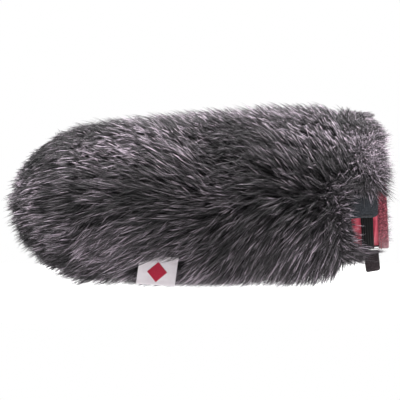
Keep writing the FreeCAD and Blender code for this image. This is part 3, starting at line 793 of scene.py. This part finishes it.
def lock_picks(tufts):
    """For every hair: its tuft and its lock, a few hairs that stay together as one streak."""
    locks = np.repeat(np.arange(tufts), LOCKS_EACH)
    lock = np.repeat(np.arange(len(locks)), HAIRS_EACH)
    return locks[lock], lock


def lock_noise(lock, scale):
    """A random number for each lock, the same for all of its hairs."""
    return rng.normal(0.0, scale, lock[-1] + 1)[lock]


def lock_uniform(lock, low, high):
    """A number between two limits for each lock, the same for all of its hairs."""
    return rng.uniform(low, high, lock[-1] + 1)[lock]


def lock_lengths(lock, low, high):
    """A length for each hair: its lock's, less a little of its own."""
    return lock_uniform(lock, low, high) * rng.uniform(0.88, 1.0, len(lock))


def lock_reach(lock, proud=0.18):
    """How far each hair reaches up the pile: most end near its top, and a few stand out of it."""
    count = lock[-1] + 1
    reach = 1 - 0.36 * rng.random(count) ** 1.3
    reach = np.where(rng.random(count) < proud, rng.uniform(1.0, 1.30, count), reach)
    return reach[lock] * (1 - 0.12 * rng.random(len(lock)))


def lock_tones(lock, spots, darker=0.0):
    """A tone for each hair: dark, middling or silver by lock, with patches and a little of its own, less
    darker, which on the body panel carries painted shade on its flanks.
    """
    count = lock[-1] + 1
    kind = rng.random(count)
    tone = np.where(kind < 0.46, rng.uniform(0.0, 0.28, count), rng.uniform(0.28, 0.66, count))
    tone = np.where(kind > 0.80, rng.uniform(0.76, 1.0, count), tone)
    patches = 0.07 * waves(spots, 16.0, 8) + 0.07 * waves(spots, 34.0, 9)
    tone = np.clip(tone[lock] + patches + rng.normal(0, 0.05, len(lock)), 0, 1)
    return np.clip(tone - darker, 0, 1)


def crown(x, turn):
    """How much lower the pile lies on top of the nose than its outside says."""
    up = np.clip(-np.sin(np.radians(turn)), 0, 1)
    return 6.0 * up * np.exp(-(((x + 228.0) / 22.0) ** 2))


def body_guides():
    """Roots on the body panel: place along the tube and turn, one for each tuft."""
    found = []
    for place in np.arange(SHOULDER_X + 1.0, PILE_END_X, TUFT_GAP):
        count = int(round(2 * math.pi * float(fabric_r(place)) / TUFT_GAP))
        found.append(pack(np.full(count, place), (np.arange(count) + rng.random()) * 360.0 / count))
    found = np.concatenate(found)
    found[:, 0] += rng.uniform(-1.4, 1.4, len(found))
    found[:, 1] += rng.uniform(-1.9, 1.9, len(found))
    found[:, 1] = (found[:, 1] + 180.0) % 360.0 - 180.0
    return found


def clear_of_bays(x, turn):
    """Whether a root may grow there: none in the strap's and the pull loop's bays."""
    turn = (turn + 180.0) % 360.0 - 180.0
    clear = np.ones(x.shape, bool)
    for start_x, low_turn, high_turn in (STRAP_BAY, PULL_BAY):
        clear &= ~((x > start_x) & (turn > low_turn) & (turn < high_turn))
    return clear


def lean_of(x, turn):
    """How far a hair leans towards the nose for each millimetre that it rises."""
    places = [-194.0, -120.0, -60.0, -26.0, -8.0, 6.0]
    top = np.interp(x, places, [1.25, 1.05, 0.85, 0.75, 0.65, 0.1])
    side = np.interp(x, places, [1.30, 1.10, 0.85, 0.70, 0.55, 0.0])
    low = np.interp(x, places, [1.20, 1.08, 0.80, 0.45, 0.15, 0.0])
    up = -np.sin(np.radians(turn))
    return side + np.clip(up, 0, 1) * (top - side) + np.clip(-up, 0, 1) * (low - side)


def parting(x, turn):
    """How far, in degrees, tips are combed away from the dark parting that runs from the slit."""
    off = turn - 8.0
    along = np.interp(x, [-200.0, -120.0, -50.0, 0.0], [3.0, 7.0, 13.0, 12.0])
    return along * np.tanh(off / 12.0) * np.exp(-((off / 75.0) ** 2))


def grow_body():
    """Hairs of the body panel as lines of points in the tube's frame."""
    guide = body_guides()
    spots = on_tube(guide[:, 0], fabric_r(guide[:, 0]), guide[:, 1])
    comb = waves(spots, 42.0, 3)
    swirl = waves(spots, 30.0, 4)
    tuft = len(guide)
    guide_lean = lean_of(guide[:, 0], guide[:, 1]) * (1 + 0.16 * comb + rng.normal(0, 0.14, tuft))
    guide_side = 5.0 * swirl + rng.normal(0, 5.5, tuft)
    guide_reach = np.clip(1.0 - 0.22 * rng.random(tuft) ** 1.5 + 0.05 * comb, 0.5, 1.1)

    pick, lock = lock_picks(tuft)
    count = len(pick)
    off_x = lock_noise(lock, 1.2)
    off_turn = np.degrees(lock_noise(lock, 1.2) / HAIR_TURN_R)
    root_x = np.clip(guide[pick, 0] + off_x + rng.normal(0, 0.4, count), SHOULDER_X + 0.3, PILE_END_X)
    root_turn = guide[pick, 1] + off_turn + np.degrees(rng.normal(0, 0.4, count) / HAIR_TURN_R)
    longer = 0.16 + 0.28 * np.exp(-(((root_x + 35.0) / 18.0) ** 2))
    hang = 1 + longer * np.clip(np.sin(np.radians(root_turn)), 0, 1) ** 2
    share = guide_reach[pick] * lock_reach(lock) * hang
    rise_here = pile_r(root_x, root_turn) - fabric_r(root_x)
    drift = guide_lean[pick] * (1 + lock_noise(lock, 0.20)) * np.clip(rise_here, 9.0, 24.0) * share
    tip_x = guide[pick, 0] + 0.8 * off_x - drift + rng.normal(0, 0.25, count)
    sag = 2.5 * np.cos(np.radians(root_turn)) + parting(root_x, guide[pick, 1])
    tip_turn = guide[pick, 1] + 0.8 * off_turn + guide_side[pick] * share + sag
    tip_turn += np.degrees((lock_noise(lock, 0.8) + rng.normal(0, 0.25, count)) / 60.0)
    base = fabric_r(tip_x)
    tip_r = base + np.clip(pile_r(tip_x, tip_turn) - crown(tip_x, tip_turn) - base, 2.0, None) * share
    # Painted shade: hairs rooted on the flanks, towards the camera and away from it, get tones up to about 0.2
    # darker. This stands in for the shade between the lit top and bottom of the fur.
    front, back = guide[pick, 1] - 4.0, np.abs(guide[pick, 1]) - 180.0
    flank = np.exp(-((front / 26.0) ** 2)) + np.exp(-((back / 26.0) ** 2))
    painted_flank_shade = flank * np.interp(root_x, [-190.0, -110.0, 0.0], [0.05, 0.20, 0.20])
    tones = lock_tones(lock, spots[pick], painted_flank_shade)
    keep = clear_of_bays(root_x, root_turn)
    ends = (root_x, fabric_r(root_x), root_turn, tip_x, tip_r, tip_turn)
    return bend_hairs(*(end[keep] for end in ends)), tones[keep]


def bend_hairs(root_x, root_r, root_turn, tip_x, tip_r, tip_turn, curl=0.22):
    """Lines that rise from the fabric and then lie over towards their tips, with a slight curl."""
    t = np.linspace(0.0, 1.0, 6)[None, :]
    out = 1 - (1 - t) ** 1.18
    over = t**1.18
    x = root_x[:, None] + (tip_x - root_x)[:, None] * over
    r = root_r[:, None] + (tip_r - root_r)[:, None] * out + 0.7 * np.sin(math.pi * t)
    turn = root_turn[:, None] + (tip_turn - root_turn)[:, None] * over
    lines = on_tube(x, r, turn)
    phase = rng.uniform(0, 2 * math.pi, (len(root_x), 1))
    way = unit(rng.normal(size=(len(root_x), 1, 3)))
    amount = curl * rng.random((len(root_x), 1)) * np.sin(phase + t * 5.0) * t
    return lines + way * amount[..., None]


def grow_nose():
    """Hairs of the nose panel, which fan out round its pole."""
    polar = np.degrees(np.arccos(rng.random(NOSE_TUFTS)))
    turn = rng.uniform(-180.0, 180.0, NOSE_TUFTS)
    down = np.sin(np.radians(turn))
    reach = 1.04 - 0.30 * rng.random(NOSE_TUFTS) + (0.12 - 0.05 * down) * np.exp(-((polar / 34.0) ** 2))
    reach -= 0.06 * np.clip(down, 0, 1)
    close = np.interp(polar, [0.0, 50.0, 90.0], [0.95, 0.93, 0.80]) + rng.normal(0, 0.05, NOSE_TUFTS)
    close -= 0.17 * (1 - down**2) * np.interp(polar, [12.0, 35.0, 70.0, 90.0], [0.0, 1.0, 1.0, 0.3])
    pick, lock = lock_picks(NOSE_TUFTS)
    count = len(pick)
    narrow = np.clip(np.sin(np.radians(polar[pick])), 0.12, 1)
    off_polar = np.degrees(lock_noise(lock, 1.2) / SHOULDER_R)
    off_turn = np.degrees(lock_noise(lock, 1.2) / SHOULDER_R) / narrow
    fray = np.degrees(0.45 / SHOULDER_R)
    root = on_dome(polar[pick] + off_polar + rng.normal(0, fray, count),
                   turn[pick] + off_turn + rng.normal(0, fray, count) / narrow, SHOULDER_R, 0.0)
    share = reach[pick] * lock_reach(lock, 0.30) * (1 + lock_noise(lock, 0.15) * np.clip(-down[pick], 0, 1))
    tip_polar = (polar[pick] + off_polar) * close[pick] + lock_noise(lock, 1.2) + rng.normal(0, 0.15, count)
    tip_turn = turn[pick] + off_turn + (lock_noise(lock, 1.6) + rng.normal(0, 0.15, count)) / narrow
    inner = on_dome(tip_polar, tip_turn, SHOULDER_R, 0.0)
    outer = on_dome(tip_polar, tip_turn, NOSE_PILE_R, -NOSE_HANG)
    low = crown(outer[:, 0], tip_turn) / NOSE_PILE_R
    centre = np.array([SHOULDER_X, 0.0, 0.0])
    outer = outer - (outer - centre) * low[:, None]
    tip = inner + (outer - inner) * share[:, None]
    t = np.linspace(0.0, 1.0, 6)[None, :, None]
    knee = root + unit(root - centre) * 5.0 + (tip - root) * 0.30
    lines = (1 - t) ** 2 * root[:, None] + 2 * t * (1 - t) * knee[:, None] + t**2 * tip[:, None]
    phase = rng.uniform(0, 2 * math.pi, (count, 1, 1))
    way = unit(rng.normal(size=(count, 1, 3)))
    lines = lines + way * 0.22 * rng.random((count, 1, 1)) * np.sin(phase + t * 5.0) * t
    return lines, lock_tones(lock, root)


def on_dome(polar, turn, radius, lift):
    """A point about the nose's centre: the polar angle is from the nose's pole, both in degrees."""
    p, t = np.radians(polar), np.radians(turn)
    r = -radius * np.sin(p)
    return pack(SHOULDER_X - radius * np.cos(p), r * np.cos(t), r * np.sin(t) + lift)


def rim_hairs():
    """Hairs all round the mouth, which lean out over the hem."""
    pick, lock = lock_picks(RIM_TUFTS)
    count = len(pick)
    turn = rng.uniform(-180.0, 180.0, RIM_TUFTS)[pick] + lock_noise(lock, 1.6) + rng.normal(0, 0.5, count)
    root_x = (PILE_END_X - 9.0 * rng.random(RIM_TUFTS) ** 1.3)[pick] + lock_noise(lock, 0.8)
    root_x = np.minimum(root_x + rng.normal(0, 0.4, count), PILE_END_X + 1.2)
    length = lock_lengths(lock, 10.0, 19.0)
    forward = np.interp(root_x, [-3.0, PILE_END_X], [-0.2, 1.05]) + lock_noise(lock, 0.30)
    shown = np.interp(turn, [-62.0, -30.0, 3.0, 4.0], [0.0, 1.0, 1.0, 0.0])
    furthest = rng.uniform(16.0, 21.0, count) + 4.0 * shown
    tip_x = np.minimum(root_x + length * forward, furthest)
    over_tab = (turn > -14.0) & (turn < 3.0)
    fall = lock_uniform(lock, 0.0, 15.0) * np.interp(turn, [-26.0, -8.0, 3.0, 4.0], [0.0, 1.0, 1.0, 0.0])
    combed = np.where(turn < -26.0, 0.35 * parting(root_x, turn), 0.0)
    tip_turn = turn + fall + lock_noise(lock, 4.5) + combed
    tip_r = fabric_r(root_x) + length * lock_uniform(lock, 0.25, 0.62)
    tallest = np.interp(tip_x, [2.0, 20.0], [54.5, 50.5]) - lock_uniform(lock, 0.0, 3.5)
    tip_r = np.where(tip_x > 2.0, np.clip(tip_r, 48.0, tallest), tip_r)
    tip_r = np.where(over_tab, np.clip(tip_r, 50.2, 55.0), tip_r)
    beside_slit = (turn > STRAP_BAY[1]) & (turn < STRAP_BAY[2])
    keep = clear_of_bays(root_x, turn) & ~beside_slit
    ends = (root_x, fabric_r(root_x), turn, tip_x, tip_r, tip_turn)
    lines = bend_hairs(*(end[keep] for end in ends), curl=1.7)
    return lines, lock_tones(lock, on_tube(root_x, MOUTH_R, turn), 0.06)[keep]


def hem_hairs():
    """Short hairs that lie over the hem's upper part, in front of its tape."""
    pick, lock = lock_picks(HEM_TUFTS)
    turn = rng.uniform(-100.0, 1.0, HEM_TUFTS)[pick] + lock_noise(lock, 1.6)
    root_x = 5.0 + (8.6 * rng.random(HEM_TUFTS))[pick] + lock_noise(lock, 0.5)
    length = lock_lengths(lock, 6.0, 12.0)
    tip_x = np.minimum(root_x + length * (0.1 + lock_noise(lock, 0.40)), 21.0)
    low = np.interp(root_x, [5.0, 14.0], [1.0, 0.55])
    tip_r = OVER_HEM_R + length * lock_uniform(lock, 0.2, 0.62) * low
    root_r = np.full(len(pick), HEM_R)
    lines = bend_hairs(root_x, root_r, turn, tip_x, tip_r, turn + lock_noise(lock, 5.0), curl=1.2)
    return lines, lock_tones(lock, on_tube(root_x, HEM_R, turn), 0.08)


def bay_hairs():
    """Hairs along the far edge of the strap's bay, which hang over the satin's lower corner."""
    pick, lock = lock_picks(BAY_TUFTS)
    turn = rng.uniform(0.0, 94.0, BAY_TUFTS)[pick] + lock_noise(lock, 1.2)
    depth = (rng.random(BAY_TUFTS) ** 1.3)[pick]
    root_x = STRAP_BAY[0] - 0.3 - 13.0 * depth - np.abs(lock_noise(lock, 0.6))
    length = lock_lengths(lock, 7.0, 14.0)
    reach = np.interp(turn, [0.0, 14.0, 30.0, 50.0, 68.0, 86.0], [1.2, 1.0, 0.70, 1.15, 1.75, 1.9])
    tip_x = root_x + length * np.clip(reach * (1 - 1.1 * depth) + lock_noise(lock, 0.25), -0.3, 2.1)
    root_r = fabric_r(root_x)
    tip_r = root_r + np.clip(length * lock_uniform(lock, 0.35, 0.9), 4.8, 12.0) * (1 + 0.5 * depth)
    lines = bend_hairs(root_x, root_r, turn, tip_x, tip_r, turn + lock_noise(lock, 5.0), curl=1.3)
    return lines, lock_tones(lock, on_tube(root_x, MOUTH_R, turn))


def stray_hairs():
    """Single hairs that cross the strap's lower end from below."""
    turn = rng.uniform(86.5, 98.0, STRAYS)
    root_x = rng.uniform(-15.0, -3.4, STRAYS)
    tip_x = root_x + rng.uniform(4.0, 19.0, STRAYS)
    tip_r = rng.uniform(49.5, 58.0, STRAYS)
    tip_r = np.where(tip_x > 0.0, rng.uniform(48.6, 50.5, STRAYS), tip_r)
    tip_turn = rng.uniform(76.0, 92.0, STRAYS)
    lines = bend_hairs(root_x, fabric_r(root_x), turn, tip_x, tip_r, tip_turn, curl=1.4)
    return lines, rng.uniform(0.30, 0.80, STRAYS)


def grow_rim():
    """Shorter, curlier hairs that stand up round the mouth and the bays, and cover most of the hem."""
    parts = [rim_hairs(), hem_hairs(), bay_hairs(), stray_hairs()]
    return tuple(np.concatenate(kind) for kind in zip(*parts))


def clear_label(lines):
    """Whether each hair keeps out of the parted fur in front of the label, but for its top edge."""
    x, y, z = np.moveaxis(to_row(lines) / MM, -1, 0)
    in_front = (x > PARTED_X[0]) & (x < PARTED_X[1]) & (y < PARTED_Y) & (z < PARTED_Z)
    return ~in_front.any(axis=1)


def clear_of_peeled(lines):
    """Whether each hair keeps clear of the strap as it stands when it is peeled to its limit."""
    share = np.linspace(0.0, 1.0, 5)[:-1, None]
    fine = lines[:, :-1, None] * (1 - share) + lines[:, 1:, None] * share
    hinge = on_tube(0.0, HINGE_R, HINGE_TURN)
    c, s = math.cos(PEEL), math.sin(PEEL)
    off_y, off_z = fine[..., 1] - hinge[1], fine[..., 2] - hinge[2]
    y, z = hinge[1] + off_y * c + off_z * s, hinge[2] + off_z * c - off_y * s
    r, turn = np.hypot(y, z), np.degrees(np.arctan2(-z, -y))
    beside = np.abs(fine[..., 0] - STRAP_X) < 5.1
    inside = beside & (np.abs(r - HEM_R) < 1.2) & (turn > 24.0) & (turn < 77.5)
    return ~inside.any(axis=(1, 2))


def above_floor(lines):
    """The lines, with those that would reach the floor drawn back to end a little over it."""
    low = FLOOR_Z + 0.1 + 2.6 * rng.random((len(lines), 1)) ** 2
    z_row = to_row(lines)[..., 2] / MM
    root, deepest = z_row[:, :1], z_row.min(axis=1, keepdims=True)
    share = np.clip((root - low) / np.maximum(root - deepest, 1e-6), 0, 1)
    return lines[:, :1] + (lines - lines[:, :1]) * share[..., None]


def make_fur():
    """All of the pile, cut into pieces of a moderate size along the tube."""
    body, body_tones = grow_body()
    rim, rim_tones = grow_rim()
    nose, nose_tones = grow_nose()
    lines = np.concatenate([body, rim])
    tones = np.concatenate([body_tones, rim_tones])
    profile = np.array([0.85, 1.0, 1.0, 0.85, 0.55, 0.0])
    for name, node, group, tone, bands in (("body_fur", "body_pile", lines, tones, 20),
                                           ("nose_fur", "nose_pile", nose, nose_tones, 3)):
        keep = clear_label(group) & clear_of_peeled(group)
        group, tone = above_floor(slumped(group[keep])), tone[keep]
        order = np.argsort(group[:, 0, 0])
        thick = HAIR_R * np.exp(rng.normal(0, 0.25, len(group)))
        radii = thick[:, None] * profile[None, :] * MM
        for number, part in enumerate(np.array_split(order, bands), start=1):
            piece = bundle(f"{name}_{number:02d}", to_row(group[part]), radii[part], tone[part], "jacket", FUR)
            stands_for(piece, node)


# --- carried-over CAD pieces ---

for node_name, finish in {"grip_collar": RUBBER, "bottom_seam": KNIT}.items():
    mesh = nodes[node_name].data
    mesh.materials.clear()
    mesh.materials.append(finish)

make_backing()
make_lining()
make_core()
make_seams()
make_hem()
make_facing()
make_strap()
make_pull_loop()
make_label()
make_fur()


# --- stage, light and camera ---


def make_stage():
    """A pale floor in a bright room, under a broad soft top light and a large front light."""
    bpy.ops.mesh.primitive_plane_add(size=2.4, location=(0.0, 0.0, FLOOR_Z * MM))
    floor = bpy.context.object
    floor.name = "floor"
    made = Finish("pale_floor", roughness=0.9, specular=0.2)
    shade = made.noise(3.0, 2.0)
    made.colour(made.ramp(shade, (0.0, (0.16, 0.16, 0.16)), (1.0, (0.18, 0.18, 0.18))))
    made.shader.inputs["Emission Color"].default_value = (1.0, 1.0, 1.0, 1.0)
    made.shader.inputs["Emission Strength"].default_value = 1.0
    floor.data.materials.append(made.material)

    world = bpy.data.worlds.new("room")
    bpy.context.scene.world = world
    world.use_nodes = True
    tree = world.node_tree
    tree.nodes.clear()
    white = (1.0, 1.0, 1.0, 1.0)
    depth = add_node(tree, "SeparateXYZ", Vector=add_node(tree, "TexCoord").outputs["Generated"]).outputs["Y"]
    fade = add_node(tree, "MapRange", **{"Value": depth, "From Min": -1.0, "From Max": 0.2, "To Min": 0.08,
                                         "To Max": 1.1})
    walls = add_node(tree, "Background", Color=white, Strength=fade.outputs["Result"])
    plain = add_node(tree, "Background", Color=white)
    mix = add_node(tree, "MixShader", Fac=add_node(tree, "LightPath").outputs["Is Camera Ray"])
    for socket, background in enumerate((walls, plain), start=1):
        tree.links.new(background.outputs["Background"], mix.inputs[socket])
    add_node(tree, "OutputWorld", Surface=mix.outputs["Shader"])

    aim = Vector((-0.11, 0.0, 0.0))
    for name, kind, place, size, power in (("top_light", "SUN", (0.15, -0.05, 1.2), math.radians(60.0), 10.0),
                                           ("front_light", "AREA", (0.3, -1.5, 0.5), 1.2, 4.5)):
        data = bpy.data.lights.new(name, kind)
        data.energy = power
        setattr(data, "angle" if kind == "SUN" else "size", size)
        light = bpy.data.objects.new(name, data)
        light.location = place
        light.rotation_euler = (aim - Vector(place)).to_track_quat("-Z", "Y").to_euler()
        bpy.context.scene.collection.objects.link(light)


def make_camera():
    """A level view, square to the windscreen's side, from far enough to look flat."""
    target = Vector((-0.1138, 0.0, -0.0125))
    distance, width, rise = 8.0, 0.280, math.radians(0.5)
    data = bpy.data.cameras.new("camera")
    data.sensor_width = 36.0
    data.lens = 36.0 * distance / width
    data.clip_start, data.clip_end = 0.05, 50.0
    camera = bpy.data.objects.new("camera", data)
    back = Vector((0.0, -math.cos(rise), math.sin(rise)))
    camera.location = target + back * distance
    camera.rotation_euler = (-back).to_track_quat("-Z", "Y").to_euler()
    bpy.context.scene.collection.objects.link(camera)
    bpy.context.scene.camera = camera


make_stage()
make_camera()
bpy.context.scene.view_settings.view_transform = "Standard"
